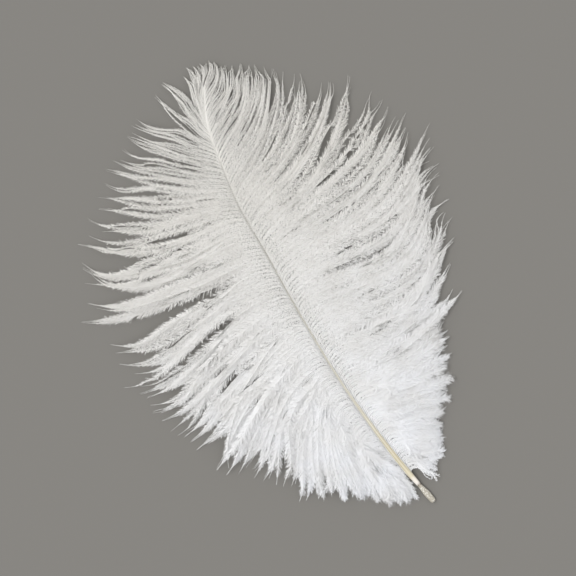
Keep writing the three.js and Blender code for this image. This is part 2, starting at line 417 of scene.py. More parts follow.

# %% [markdown]
# The layers are laid over each other: rod, rims, the painted shade of the groove, paddle, specks. The numbers
# of a Mix node's inputs are 0 for the share, 6 for the colour where it is 0 and 7 for that where it is 1, and
# output 2 is a colour.
# The gloss is highest on the collar, and the same cells that colour the paddle roughen the surface a little.

# %% Laying the colours over each other
GLOSS = [(6, 0.6), (7.4, 0.28), (10.4, 0.28), (12, 0.45), (60, 0.5), (120, 0.6)]
body = rod
for share, layer, layer_hex in ((rim, None, "#DAD8D1"), (line, groove_shade_colour, None),
                                (paddle_there, paddle.outputs[2], None), (specks, None, "#6C6153")):
    settings = {"data_type": "RGBA"} | ({7: colour(layer_hex)} if layer_hex else {})
    links = {0: share, 6: body} | ({7: layer} if layer else {})
    body = add_node(horn, "ShaderNodeMix", settings, links).outputs[2]
horn.node_tree.links.new(body, horn_shader.inputs["Base Color"])
gloss = add_node(horn, RAMP, {"stops": stops_along(GLOSS)}, {"Fac": place_along})
horn.node_tree.links.new(gloss.outputs[0], horn_shader.inputs["Roughness"])
bumps = add_node(horn, "ShaderNodeBump", {"Strength": 0.35, "Distance": 0.0002}, {"Height": cells})
horn.node_tree.links.new(bumps.outputs["Normal"], horn_shader.inputs["Normal"])
print("nodes of the shaft's material:", len(horn.node_tree.nodes))

# %% The shaft's mesh
shaft_places = np.stack([0.5 + shaft_places[:, 0] / 2, shaft_places[:, 1] / MAP_LENGTH], -1)
shaft = make_piece("grooved_shaft", [(shaft_points, shaft_faces)], [horn], shaft_places)
shaft.data.polygons.foreach_set("use_smooth", np.ones(len(shaft_faces), bool))
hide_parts("shaft")
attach(shaft, "root")

# %% [markdown]
# ## How the barbs lie
#
# Each wisp is a few barbs that cling together and end in one tip. A physical simulation could let barbs
# cling, but it wouldn't put the wisps where this plume has them. So every wisp that shows at the edge is
# listed: where its middle barb leaves the shaft, where its tip lies, and the direction it has there, in
# degrees turned from straight along towards its own side.

# %% The wisps of the left vane
LEFT_WISPS = [
    (14, -5.1, 7.6, 193), (18, -4.8, 2.9, 193), (23, -8.1, 3.4, 195), (28, -10.8, 4, 195),
    (33, -14, 5.3, 190), (38, -17.9, 8.3, 178), (43, -23.1, 11.7, 175), (45, -24.5, 13.3, 165),
    (48, -29, 13.7, 160), (51, -32.9, 16.8, 155), (54, -37.1, 19.2, 145), (56.5, -41.7, 20.6, 138),
    (58.5, -42.4, 22.6, 148), (60, -43.3, 27.1, 135), (61, -44.4, 27.7, 130), (62.5, -49, 32.7, 130),
    (63.5, -51.6, 33.2, 122), (64.5, -51.8, 35, 118), (65.5, -54.5, 37.4, 118), (66.5, -53.6, 39.9, 110),
    (67.5, -55.4, 41.8, 120), (68.5, -59.3, 40.7, 120), (69.5, -62.9, 43.2, 116), (71, -65, 46.5, 118),
    (73, -63.6, 56.2, 95), (74.5, -68.5, 56.3, 105), (76, -69.6, 59.8, 95), (77.5, -70.3, 62.3, 97),
    (78.5, -73.5, 64.4, 89), (80, -73.3, 66.7, 98), (81.5, -74.3, 71.7, 80), (83, -76.3, 75.6, 69),
    (84.5, -75.7, 78.9, 66), (86.5, -75.5, 81.8, 82), (87.5, -77.3, 84.4, 75), (89, -81.1, 88.8, 63),
    (90, -77.4, 91.8, 62), (91.5, -75.7, 94.7, 60), (93, -80.1, 98.5, 50), (95, -80.3, 102.3, 66),
    (97.5, -78.5, 105.1, 51), (102, -84, 117.3, 63), (104, -76.8, 119.4, 48), (105.5, -74.6, 120.1, 47),
    (107, -78.6, 122.1, 43), (110, -77.5, 130.3, 56), (112, -72.1, 128.7, 39), (115.5, -74.6, 134.9, 30),
    (117.5, -73.1, 136.2, 15), (120.5, -71.4, 143.7, 46), (121.5, -68.8, 143.5, 36),
    (122.5, -67.8, 143.9, 36), (123.5, -65.7, 144.6, 66), (125.5, -64.1, 149.9, 33),
    (126.5, -59.5, 152.1, 50), (130, -57.8, 154, 62), (131.5, -54.3, 153.8, 50), (133, -53.8, 157.8, 31),
    (136.3, -50.4, 162.5, 47), (139, -46.2, 164.6, 37), (140.5, -44.8, 165.3, 39),
    (141.5, -41.6, 165.8, 21), (145, -38.1, 170.4, 24), (146, -37.3, 169.7, 30), (148, -35.5, 170.1, 34),
    (150, -34.1, 172.3, 34), (151, -32.5, 172.3, 30), (152, -30.7, 174.2, 25), (154.5, -22.3, 177.9, 15),
    (157.5, -18, 180.7, 33), (159, -16.9, 181, 33), (162, -9.2, 179.8, 23), (165, -6.9, 182, 29),
    (167, -4.6, 181.4, 24), (168.5, -2.9, 180.8, 18), (170, -1.7, 180.7, 12), (171, 0.6, 180.8, 0),
]
print("left wisps:", len(LEFT_WISPS))

# %% The wisps of the right vane
RIGHT_WISPS = [
    (13, 3.5, 6.7, 157), (14, 6.6, 5.8, 139), (15.5, 6.2, 8.8, 128), (18, 10.7, 12.5, 123),
    (20, 12, 14.2, 106), (24, 13.8, 17.7, 118), (29, 15.5, 22.8, 112), (33, 18.6, 26.4, 115),
    (35, 19.1, 28.9, 115), (38, 22.9, 30.1, 100), (39.5, 22.4, 32.9, 86), (40.5, 23.6, 34.5, 94),
    (42, 26.9, 35.4, 112), (44, 26.8, 36.7, 106), (50, 30.8, 44.3, 82), (56, 32.8, 50, 89),
    (58, 34, 52.4, 84), (65.5, 44.7, 62.7, 63), (67, 42.2, 65.1, 54), (71, 46, 73.8, 53),
    (76, 47.9, 82, 63), (78, 50.5, 80.1, 73), (80, 51.3, 81.5, 73), (83.5, 53.8, 88.6, 67),
    (85, 52.4, 91.6, 60), (86, 56, 91.2, 80), (91, 56.3, 94.6, 89), (93.5, 55.7, 101, 60),
    (95, 52.7, 102.3, 70), (96.3, 57.3, 105.3, 83), (97, 58.8, 107.5, 78), (98, 59.9, 108.2, 90),
    (99, 58.5, 110.6, 94), (100, 60, 114.1, 76), (101, 59.7, 114.9, 76), (103, 63.6, 123.5, 54),
    (104, 54.9, 123.1, 41), (106, 56.9, 126.8, 59), (107, 57.1, 130.2, 54), (108, 54, 129.2, 61),
    (109, 53.4, 131.2, 61), (111.5, 52.1, 135.1, 44), (113, 50.7, 139.2, 50), (114.5, 48.8, 143.7, 52),
    (117, 44, 147, 56), (118.5, 44.5, 152.5, 32), (121, 39, 152.4, 22), (122.5, 37.8, 152.9, 28),
    (124, 37.1, 153.6, 28), (126.5, 34, 154.6, 33), (128.5, 30.8, 162.4, 7), (130, 28.8, 158.1, 42),
    (131.5, 27.5, 161.4, 25), (132.5, 23.5, 161.5, 0), (133.5, 24.7, 165, 28), (134.5, 22.3, 168.2, 14),
    (135.5, 21.3, 167.5, 25), (138.5, 18.9, 169.4, 18), (142, 16.5, 168.9, 20), (146, 16, 171.7, 16),
    (150, 13.9, 172.1, 21), (155.5, 11.3, 174, 8), (158.5, 8.6, 174.7, 20), (162, 6.3, 176.2, 20),
    (165, 4.8, 176.8, 15), (168, 3.2, 178.9, 6), (170, 1.7, 180.3, 5),
]
print("right wisps:", len(RIGHT_WISPS))

# %% [markdown]
# Between two listed wisps that are far apart on the shaft, shorter ones fill the gap, as they do in the downy
# half, where the long barbs cover short ones.

# %% Filling the gaps between the wisps
WIDEST_GAP = 3.3
FILLED_BELOW = 100
FILLED_REACH = (0.9, 0.97)


def filled_wisps(rows, rng):
    """The listed wisps, with shorter ones between two that are far apart on the shaft."""
    wisps = [rows[0]]
    for row in rows[1:]:
        last = np.array(wisps[-1], float)
        extra = int((row[0] - last[0]) / WIDEST_GAP) if row[0] < FILLED_BELOW else 0
        for i in range(extra):
            share = (i + 1) / (extra + 1)
            between = last + (np.array(row) - last) * share
            root = np.array([shaft_across(between[0]), between[0]])
            between[1:3] = root + (between[1:3] - root) * rng.uniform(*FILLED_REACH)
            wisps.append(tuple(between))
        wisps.append(row)
    return np.array(wisps, float)


print("left wisps with the fill:", len(filled_wisps(LEFT_WISPS, np.random.default_rng(0))))


# %% [markdown]
# Most of a vane is one soft closed sheet, and its barbs gather in wisps only near the edge. A wisp whose tip
# lies far from where an even edge would have it begins to part deeper. Near the tip of the plume, the wisps
# of the left vane part from about halfway out.

# %% Where the wisps begin to part, as a share of the barbs' length
GATHER_START = {  # by side: -1 is the left one and 1 the right one
    -1: [(13, 0.9), (60, 0.84), (80, 0.77), (134, 0.74), (142, 0.7), (150, 0.63), (158, 0.55), (161, 0.65),
         (171, 0.8)],
    1: [(13, 0.9), (60, 0.84), (100, 0.81), (108, 0.76), (125, 0.72), (134, 0.74), (142, 0.83), (171, 0.87)],
}
GATHER_PER_MM = 0.07
GATHER_JITTER = 0.04
GATHER_LIMITS = (0.1, 0.9)
GATHERED_AT = 0.98
print("wisps part at 100 mm, left and right:", *(table_at(GATHER_START[s], 100).round(2) for s in (-1, 1)))

# %% [markdown]
# Slits open where neighbouring barbs part for a few millimetres. Each is listed by its inner end and its
# outer end on the plan, and its greatest width. It follows the barbs between the two.

# %% Slits that stand out
LEFT_SLITS = [
    (-10, 160, -21, 179.5, 1.6), (-10.5, 159.5, -28.5, 177, 2.4), (-31.5, 162.5, -35.5, 170.5, 1.2),
    (-27.5, 149, -39.5, 164.5, 3.2), (-35.5, 145, -51.5, 159, 3.4), (-44.5, 143.5, -56, 151, 1.4),
    (-43.5, 137, -59, 149, 2.8), (-46, 134, -62, 145, 2.0), (-32.5, 127.5, -48, 131.5, 2.8),
    (-54, 135, -64.5, 142.5, 1.8), (-52.5, 122.5, -67.5, 134.5, 3.2), (-48.5, 116.5, -58.5, 120.5, 2.6),
    (-41, 108.5, -54, 110, 1.2), (-48.5, 95.5, -60.5, 93.5, 2.8), (-54, 103, -63, 106.5, 2.2),
    (-35.5, 103, -44, 99.5, 0.8), (-33.5, 67.5, -46, 67, 1.0), (-51.5, 86, -62, 82.5, 1.6),
    (-43.5, 78, -46.5, 76.5, 1.2), (-40.5, 47, -45, 45.5, 0.8), (-64, 90.5, -75, 96.5, 1.6),
    (-61, 85, -73.5, 88.5, 1.4), (-62.5, 74.5, -73, 76, 1.4),
]
RIGHT_SLITS = [
    (5, 113, 13.5, 114, 1.2), (8.5, 95.5, 20, 97, 2.2), (17, 85.5, 26, 88.5, 1.5), (35, 99.5, 39, 101.5, 1.2),
    (34, 112, 37.5, 113.5, 1.2), (27, 109.5, 31, 109, 1.0), (25, 68.5, 26.5, 69, 1.0),
    (-2.5, 82.5, 3.5, 82, 0.6), (2.5, 130.5, 12, 134.5, 1.4), (15, 121.5, 26.5, 125, 2.0),
    (18.5, 138, 30.5, 150, 7), (19.5, 129.5, 35.5, 144.5, 6), (23.5, 126.5, 38.5, 139.5, 7.5),
    (29.5, 122, 41.5, 132, 7), (45, 113.5, 53, 116.5, 5), (39, 88.5, 49, 90.5, 4),
    (18.5, 153.5, 22, 158, 1.6), (13, 153.5, 18, 160.5, 1.0), (14, 133, 20.5, 138, 1.4),
    (47.5, 109, 54.5, 111, 1.8), (38, 77, 43, 79.5, 1.8),
]
print("listed slits:", len(LEFT_SLITS), "left,", len(RIGHT_SLITS), "right")

# %% [markdown]
# Every barb has four parts on the plan. It leaves the shaft at a narrow angle and bends away from it in the
# first few millimetres, like the teeth of a worn comb. Then a long curve carries it out, to a neck near its
# end, from where it flares to its tip. Angles are in degrees from straight along towards its own side.

# %% Directions near the shaft, by side
LEAVE_ANGLE = {
    -1: [(13, 60), (30, 52), (60, 46), (100, 45), (130, 38), (150, 28), (163, 14), (171, 5)],
    1: [(13, 50), (30, 48), (60, 42), (90, 32), (130, 30), (150, 32), (163, 30), (171, 20)],
}
SPREAD_ANGLE = {
    -1: [(13, 128), (30, 116), (60, 106), (75, 96), (90, 84), (110, 78), (125, 72), (135, 66), (145, 52),
         (155, 32), (163, 16), (171, 6)],
    1: [(13, 112), (30, 104), (60, 98), (75, 86), (90, 78), (110, 72), (125, 64), (140, 58), (160, 52),
        (171, 34)],
}
ROOT_BEND = [(13, 3.0), (22, 5.0), (60, 5.5), (120, 4.5), (150, 3.0), (171, 1.5)]
ROOT_HANDLE = 0.3
print("spread at 60 mm, degrees:", *(table_at(SPREAD_ANGLE[s], 60).round(1) for s in (-1, 1)))

# %% [markdown]
# The wisps are listed by the places they seem to come from. The barbs of a real vane slide along the shaft a
# little, where many lean the same way, so the place where a barb really leaves the shaft is moved by a few
# millimetres. The shift is nothing at both ends of the vane, and it keeps the barbs in their order.

# %% How far barbs leave the shaft from where they are listed
ROOT_SHIFT = {
    -1: [(13, 0), (48, 0), (56, -2), (64, -5), (68, -3), (76, -1), (82, 0), (86, 2), (89, 4), (95, 3.5),
         (104, 1.5), (117, 1), (122, 2), (128, 1.5), (137, -1), (145, -3), (151, -3), (172, 0)],
    1: [(13, 0), (30, -1), (42, -2), (53, -7), (63, -11), (87, -11), (97, -10), (103, -6), (107, -2),
        (113, -1.5), (121, -3), (146, -4), (155, -3.5), (172, 0)],
}
LISTED = np.arange(10, 174, 0.1)


def leaves_at(side, roots):
    """Where barbs with these listed roots really leave the shaft, in mm along."""
    return roots + table_at(ROOT_SHIFT[side], roots)


print("listed at 75 mm, really at:", *(leaves_at(s, 75).round(1) for s in (-1, 1)))

# %% Directions near the edge, by side
TIP_HANDLE = {
    -1: [(13, 0.4), (50, 0.45), (80, 0.45), (100, 0.4), (171, 0.35)],
    1: [(13, 0.35), (60, 0.4), (75, 0.45), (95, 0.5), (118, 0.5), (130, 0.4), (171, 0.4)],
}
NECK_ANGLE = {
    -1: [(13, 192), (25, 190), (35, 182), (44, 175), (50, 168), (56, 156), (62, 145), (70, 128), (78, 114),
         (86, 103), (95, 93), (102, 83), (109, 73), (117, 67), (125, 62), (134, 58), (142, 52), (149, 42),
         (155, 30), (163, 16), (171, 4)],
    1: [(13, 128), (24, 115), (35, 108), (45, 100), (52, 90), (58, 78), (65, 66), (72, 54), (78, 47),
        (92, 45), (100, 50), (108, 54), (113, 52), (118, 44), (124, 36), (130, 30), (136, 24), (150, 20),
        (171, 12)],
}
FLARE = {
    -1: [(13, 2), (40, 4), (60, 8), (75, 12), (90, 17), (115, 18), (125, 14), (142, 10), (155, 6),
         (171, 1.5)],
    1: [(13, 2), (40, 4), (65, 7), (90, 9), (118, 8), (135, 6), (150, 4), (171, 1.5)],
}
print("neck at 60 mm, degrees:", *(table_at(NECK_ANGLE[s], 60).round(1) for s in (-1, 1)))

# %% [markdown]
# Each barb is sampled at the same stations, so that all barbs of a vane fit in one array. The short bend at
# the root and the flare at the tip are quadratic Bezier curves, and the long part between is a cubic one.

# %% Stations along a barb
ROOT_STATIONS = 4
MAIN_STATIONS = 22
FLARE_STATIONS = 8
STATIONS = ROOT_STATIONS + MAIN_STATIONS + FLARE_STATIONS
share_along = np.linspace(0, 1, STATIONS)
print("stations of a barb:", STATIONS)

# %% The curve of a barb
ROOT_DEPTH = 0.25  # mm that a barb starts inside the edge of the shaft


def heading(side, degrees):
    angle = np.radians(degrees)
    return np.stack([side * np.sin(angle), np.cos(angle)], -1)


def barb_curves(side, roots, ends):
    """Plan curves from roots on the shaft to ends, rows of (tip across, tip along, tip angle)."""
    leaves = leaves_at(side, roots)
    edge = side * (table_at(SHAFT_WIDTH, leaves) / 2 - ROOT_DEPTH)
    start = np.stack([shaft_across(leaves) + edge, leaves], -1)
    tip = ends[:, :2]
    bend = table_at(ROOT_BEND, roots)[:, None]
    leave_way = heading(side, table_at(LEAVE_ANGLE[side], roots))
    spread_way = heading(side, table_at(SPREAD_ANGLE[side], roots))
    elbow = start + leave_way * bend / 2
    knee = elbow + spread_way * bend / 2
    flare = table_at(FLARE[side], roots)[:, None]
    neck_angle = table_at(NECK_ANGLE[side], roots)
    neck_way = heading(side, neck_angle)
    neck = tip - flare * heading(side, (neck_angle + ends[:, 2]) / 2)
    reach = np.linalg.norm(neck - knee, axis=1)[:, None]
    second = knee + spread_way * reach * ROOT_HANDLE
    third = neck - neck_way * reach * table_at(TIP_HANDLE[side], roots)[:, None]

    a, b, c, d, e, f = (p[:, None, :] for p in (start, elbow, knee, second, third, neck))
    t = np.linspace(0, 1, ROOT_STATIONS, endpoint=False)[None, :, None]
    root_part = a * (1 - t) ** 2 + 2 * b * t * (1 - t) + c * t**2
    t = np.linspace(0, 1, MAIN_STATIONS)[None, :, None]
    main = c * (1 - t) ** 3 + 3 * d * t * (1 - t) ** 2 + 3 * e * t**2 * (1 - t) + f * t**3
    t = np.linspace(0, 1, FLARE_STATIONS + 1)[None, 1:, None]
    turn = (neck + neck_way * flare * 0.5)[:, None, :]
    end = f * (1 - t) ** 2 + 2 * turn * t * (1 - t) + tip[:, None, :] * t**2
    return np.concatenate([root_part, main, end], axis=1)


long_barb = barb_curves(-1, np.array([102.0]), np.array([[-84, 117.3, 63]]))
print("longest left barb, mm:", round(np.linalg.norm(np.diff(long_barb, axis=1), axis=2).sum(), 1))


# %% [markdown]
# A barb has two curves: one in the closed sheet, to its own even place at the edge, and one in its wisp, to
# the wisp's tip. It follows the first near the shaft and goes over to the second where its wisp gathers. The
# even place comes from a straight line laid through the tips of the wisps near by, with the nearest counting
# most.

# %% The edge that the closed sheet would have
EVEN_SPREAD = 3.5  # mm of shaft within which wisps count


def even_ends(wisps, roots):
    """The tip that each root would have if the tips changed evenly: a local line fitted to the wisps."""
    apart = wisps[None, :, 0] - roots[:, None]
    weight = np.exp(-0.5 * (apart / EVEN_SPREAD) ** 2)
    weight /= weight.sum(axis=1, keepdims=True)
    middle = (weight * apart).sum(axis=1)[:, None]
    spread = (weight * apart**2).sum(axis=1)[:, None] - middle**2
    slope = (weight * (apart - middle)) @ wisps[:, 1:] / (spread + 1)
    return weight @ wisps[:, 1:] - slope * middle


print("even tip at 80 mm on the left:", even_ends(np.array(LEFT_WISPS, float), np.array([80.0])).round(1))


# %% [markdown]
# The barbs leave the shaft about every 0.7 mm, and closer together near the tip. The base of the plume is
# downy: there, more barbs of all lengths lie loosely between the others.

# %% Where the barbs are rooted
BARB_PITCH = [(12, 0.72), (140, 0.72), (155, 0.55), (172, 0.36)]
PITCH_JITTER = 0.05
FIRST_BARB = 12.3
LAST_BARB = 171.5
FIRST_DOWN = {-1: 17, 1: 13.5}
DOWN_COUNT = {-1: 120, 1: 85}
DOWN_END = {-1: 82, 1: 68}


def barb_roots(side, rng):
    """Where the barbs are listed, evenly spaced on the real shaft, and which of them are downy."""
    leaves = [FIRST_BARB]
    while leaves[-1] < LAST_BARB:
        leaves.append(leaves[-1] + table_at(BARB_PITCH, leaves[-1]))
    leaves = np.array(leaves[:-1]) + rng.uniform(-PITCH_JITTER, PITCH_JITTER, len(leaves) - 1)
    roots = np.interp(leaves, leaves_at(side, LISTED), LISTED)
    downy = rng.uniform(FIRST_DOWN[side], DOWN_END[side], DOWN_COUNT[side])
    down = np.concatenate([np.zeros(len(roots), bool), np.ones(len(downy), bool)])
    return np.concatenate([roots, downy]), down


print("downy barbs:", DOWN_COUNT)

# %% From the closed sheet to the wisps
TYPICAL_BARB = 50  # mm; the wandering below is given for a barb of this length
TIP_STAGGER = 5.0
TIP_TURN = 3
TIP_SPREAD = 0.14
DOWN_LENGTH = (0.5, 0.98)
DOWN_WANDER = 2.4
MAIN_WANDER = 0.5
DOWN_IN_WISPS = 0.4


def smooth(low, high, x):
    """0 below low, 1 above high, and an even rise between them."""
    t = np.clip((x - low) / (high - low), 0, 1)
    return t * t * (3 - 2 * t)


def barb_paths(side, rows, rng):
    """The plan paths of one vane, with the root and the wisp of every barb, and whether it is a downy one."""
    wisps = filled_wisps(rows, rng)
    roots, down = barb_roots(side, rng)
    count = len(roots)
    wisp = np.searchsorted((wisps[1:, 0] + wisps[:-1, 0]) / 2, roots)

    even = even_ends(wisps, roots)
    leaves = leaves_at(side, roots)
    start = np.stack([shaft_across(leaves), leaves], -1)
    size = np.linalg.norm(even[:, :2] - start, axis=1)[:, None] / TYPICAL_BARB
    shorter = np.where(down, rng.uniform(*DOWN_LENGTH, count), 1)[:, None]
    wander = np.where(down, DOWN_WANDER, MAIN_WANDER)[:, None] * size
    even[:, :2] = start + (even[:, :2] - start) * shorter + wander * rng.normal(0, 1, (count, 2))

    ends = wisps[wisp, 1:].copy()
    ends[:, 2] += rng.normal(0, TIP_TURN, count)
    ends[:, :2] += rng.normal(0, TIP_SPREAD, (count, 2))
    ends[:, :2] -= heading(side, ends[:, 2]) * size * TIP_STAGGER * rng.uniform(0, 1, (count, 1)) ** 2

    far = np.linalg.norm(wisps[:, 1:3] - even_ends(wisps, wisps[:, 0])[:, :2], axis=1)
    far = np.maximum(far[wisp], np.linalg.norm(ends[:, :2] - even[:, :2], axis=1))
    begin = table_at(GATHER_START[side], roots) - GATHER_PER_MM * far
    begin = np.clip(begin + rng.normal(0, GATHER_JITTER, len(wisps))[wisp], *GATHER_LIMITS)[:, None]
    gather = smooth(0, 1, (share_along[None, :] - begin) / (GATHERED_AT - begin))[:, :, None]
    gather[down] *= (rng.random(down.sum()) < DOWN_IN_WISPS)[:, None, None]
    paths = barb_curves(side, roots, even) * (1 - gather) + barb_curves(side, roots, ends) * gather
    return paths, roots, wisp, down, gather


print("array of the left barbs:", barb_paths(-1, LEFT_WISPS, np.random.default_rng(0))[0].shape)


# %% [markdown]
# ## Nothing is quite even
#
# Each wisp and each barb wanders a little from its curve. Noise could be added at every station, but barbs
# that cling together wander together. So the waves are shared: all barbs of a broad lock have one wave, those
# of a wisp have another, and each barb has a small one of its own.

# %% Broad locks
LOCK_ROOTS = 4.5  # mm of shaft in a lock
LOCK_JITTER = 0.8
LOCK_APART = 0.7


def nearest(paths, place):
    """The barb and the station whose point lies nearest to a place on the plan."""
    distance = np.linalg.norm(paths - np.array(place, float), axis=2)
    return np.unravel_index(np.argmin(distance), distance.shape)


def locks_of(paths, roots, listed, rng):
    """The broad lock that each barb is in. Locks part at the listed slits, and elsewhere now and then."""
    parts = []
    for slit in listed:
        parts.append((roots[nearest(paths, slit[0:2])[0]] + roots[nearest(paths, slit[2:4])[0]]) / 2)
    even = np.arange(10, 175, LOCK_ROOTS)
    even = even + rng.normal(0, LOCK_JITTER, len(even))
    apart = np.abs(even[:, None] - np.array(parts)[None, :]).min(axis=1)
    return np.searchsorted(np.sort([*parts, *even[apart > LOCK_APART * LOCK_ROOTS]]), roots)


print("barbs in a lock:", round(LOCK_ROOTS / table_at(BARB_PITCH, 60), 1))


# %% Slow waves
LOCK_WAVE = [(12, 0.5), (60, 0.5), (90, 0.7), (130, 0.8), (172, 1.0)]
WISP_WAVE = 0.5
BARB_WAVE = 0.3
DOWN_WAVE = 2.1
WAVE_TURNS = (0.7, 1.8)  # waves in the length of a barb, a slow and a quicker one
WAVE_HELD = 0.95  # share of the waves that the tip of a wisp takes away
WAVE_GROWS = (0.12, 0.6)


def add_waves(paths, roots, lock, wisp, down, gather, rng):
    """Slow sideways waves, in mm for a barb 50 mm long: of broad locks, of wisps and of single barbs."""
    count = len(paths)
    size = np.linalg.norm(np.diff(paths, axis=1), axis=2).sum(axis=1) / TYPICAL_BARB
    own = np.where(down, DOWN_WAVE, BARB_WAVE)
    held = 1 - WAVE_HELD * gather[:, :, 0]
    locks = table_at(LOCK_WAVE, roots)
    for group, swing in ((lock, locks), (wisp, WISP_WAVE), (np.arange(count), own)):
        number = group.max() + 1
        for k, turns in enumerate(WAVE_TURNS):
            way = rng.normal(0, 1 / (1 + k), (number, 2))[group] * (swing * size)[:, None]
            phase = rng.uniform(0, 2 * np.pi, number)[group][:, None]
            wave = np.sin(2 * np.pi * turns * share_along[None, :] + phase) * smooth(*WAVE_GROWS, share_along)
            paths += way[:, None, :] * (wave * held)[:, :, None]


print("the two waves of a typical barb, mm:", *(round(TYPICAL_BARB / turns) for turns in WAVE_TURNS))


# %% [markdown]
# Beside the shaft the bare starts of the barbs show as a comb. Its teeth aren't even: up to three
# neighbours lean together, with a narrow dark gap between the groups.

# %% The comb beside the shaft
COMB_GROUP = (0.8, 1.9)  # mm of shaft in a group
COMB_LEAN = 0.28
COMB_LEAN_SPREAD = (0.4, 1.6)
COMB_STARTS = (0.01, 0.07)
COMB_ENDS = (0.18, 0.4)


def add_comb(paths, roots, rng):
    """Near the shaft, makes up to three neighbouring barbs lean together."""
    edges = 11 + np.cumsum(rng.uniform(*COMB_GROUP, int(170 / COMB_GROUP[0])))
    group = np.searchsorted(edges, roots)
    middle = (edges[group - 1] + edges[group]) / 2
    shape = smooth(*COMB_STARTS, share_along) * (1 - smooth(*COMB_ENDS, share_along))
    lean = COMB_LEAN * rng.uniform(*COMB_LEAN_SPREAD, group.max() + 1)[group]
    paths[:, :, 1] += (lean * (middle - roots))[:, None] * shape[None, :]


print("barbs in a group of the comb:", *(round(group / table_at(BARB_PITCH, 60), 1) for group in COMB_GROUP))


# %% [markdown]
# A few barbs stray across their neighbours. They turn about a point a third of the way out, so that they
# still leave the shaft with the others.

# %% Strays
STRAY_SHARE = 0.04
STRAY_TURN = 0.13
USUAL_TURN = 0.003


def add_strays(paths, rng):
    """Turns a few barbs away from their neighbours, more and more towards their tips."""
    count = len(paths)
    stray = rng.random(count) < STRAY_SHARE
    turn = np.where(stray, rng.normal(0, STRAY_TURN, count), rng.normal(0, USUAL_TURN, count))
    pivot = paths[:, STATIONS // 3][:, None, :]
    angle = turn[:, None] * smooth(0.33, 1, share_along)[None, :]
    away = paths - pivot
    paths[:] = pivot + np.stack([away[:, :, 0] * np.cos(angle) - away[:, :, 1] * np.sin(angle),
                                 away[:, :, 0] * np.sin(angle) + away[:, :, 1] * np.cos(angle)], -1)
    return stray


print("usual turn of a stray, degrees:", round(np.degrees(STRAY_TURN), 1))


# %% [markdown]
# A slit could be cut out of the finished mesh, but real slits have no cut ends: the barbs beside them only
# lie farther apart. So the barbs on both sides are pushed away from the line of the slit, most beside it and
# less and less farther off.

# %% Opening a slit
SLIT_DRIFT = 1.2  # most mm of shaft that a slit may slant across its barbs
SLIT_REACH = 2.0  # mm of shaft over which the push fades
SLIT_SHORTEST = 0.1
SLIT_FULL = 0.16
SLIT_TAPER = 0.42
SLIT_CLEAR = 0.42  # share of the width, to each side, that is kept clear of barbules
EDGE_OPENS = (-0.15, 0.9)


def open_slit(paths, side, roots, partings, inner, outer, width, reach=SLIT_REACH):
    """Pushes barbs apart along a line that follows them from the inner to the outer end of a slit.

    The barbs come in the order of their roots. A slit open at the edge ends at a parting of two wisps.
    Returns the slit's middle line on the plan and its half width along that line.
    """
    barb_in, station_in = nearest(paths, inner)
    barb_out, station_out = nearest(paths, outer)
    low, high = sorted((share_along[station_in], share_along[station_out]))
    high = max(high, low + SLIT_SHORTEST)
    width *= min(1, (high - low) / SLIT_FULL)
    share = (share_along - low) / (high - low)
    root_out = roots[barb_out]
    drift = np.clip(roots[barb_in] - root_out, -SLIT_DRIFT, SLIT_DRIFT)
    opening = np.exp(-(((share - 0.5) / SLIT_TAPER) ** 2))
    if station_out >= STATIONS - FLARE_STATIONS - 1:
        root_out = partings[np.argmin(np.abs(partings - root_out))]
        opening = smooth(*EDGE_OPENS, share)
    line = root_out + drift * (1 - np.clip(share, 0, 1))
    beside = roots[:, None] - line[None, :]
    push = 0.5 * width * opening * np.exp(-np.abs(beside) / reach) * np.tanh(beside / 0.3)
    way = np.gradient(paths, axis=1)
    way /= np.linalg.norm(way, axis=2)[:, :, None] + 1e-9
    paths += side * push[:, :, None] * np.stack([-way[:, :, 1], way[:, :, 0]], -1)
    shown = np.flatnonzero(opening > 0.1)
    middle = np.array([[np.interp(line[k], roots, paths[:, k, axis]) for axis in (0, 1)] for k in shown])
    return middle, SLIT_CLEAR * width * opening[shown]


print("barbs pushed on each side of a slit, about:", round(SLIT_REACH / table_at(BARB_PITCH, 60)))


# %% [markdown]
# The listed slits come first, and then many small ones at random places. The small ones are narrower in the
# down, which closes over them.

# %% All slits of a vane
LISTED_WIDTH = {-1: 0.67, 1: 0.57}  # of the listed width, because the barbules' ends give way too
SMALL_SLITS = 90
SMALL_WIDTH = (0.4, 1.1)
SMALL_REACH = 1.2
SMALL_LENGTH = (2, 6)  # in stations
SMALL_CLEAR = (0.1, 0.9)


def add_slits(paths, side, roots, wisp, listed, rng):
    """Opens the listed slits and many small ones. Returns their middle lines and half widths."""
    change = np.flatnonzero(np.diff(wisp))
    partings = (roots[change] + roots[change + 1]) / 2
    slits = []
    for inner_across, inner_along, outer_across, outer_along, width in listed:
        ends = (inner_across, inner_along), (outer_across, outer_along)
        slits.append(open_slit(paths, side, roots, partings, *ends, LISTED_WIDTH[side] * width))
    for _ in range(SMALL_SLITS):
        barb = rng.integers(4, len(paths) - 4)
        station = rng.integers(6, STATIONS - 14)
        ends = paths[barb, station], paths[barb, station + rng.integers(*SMALL_LENGTH)]
        width = rng.uniform(*SMALL_WIDTH) * (0.3 + 0.7 * smooth(30, 80, roots[barb]))
        middle, half = open_slit(paths, side, roots, partings, *ends, width, SMALL_REACH)
        slits.append((middle, half * rng.uniform(*SMALL_CLEAR)))
    return slits


print("slits of each vane:", *(len(listed) + SMALL_SLITS for listed in (LEFT_SLITS, RIGHT_SLITS)))


# %% [markdown]
# ## How high the barbs lie
#
# The barbs leave the shaft a few millimetres above the surface, rise a little and come down towards their
# tips. The downy ones at the base stand up most. Each wisp lies a little above or below its neighbours, and
# that is what shades them. Dropping the barbs in a simulation would lay them too flat, because real ones are
# stiff enough to keep their arch. So the height is a sum of a few smooth curves.

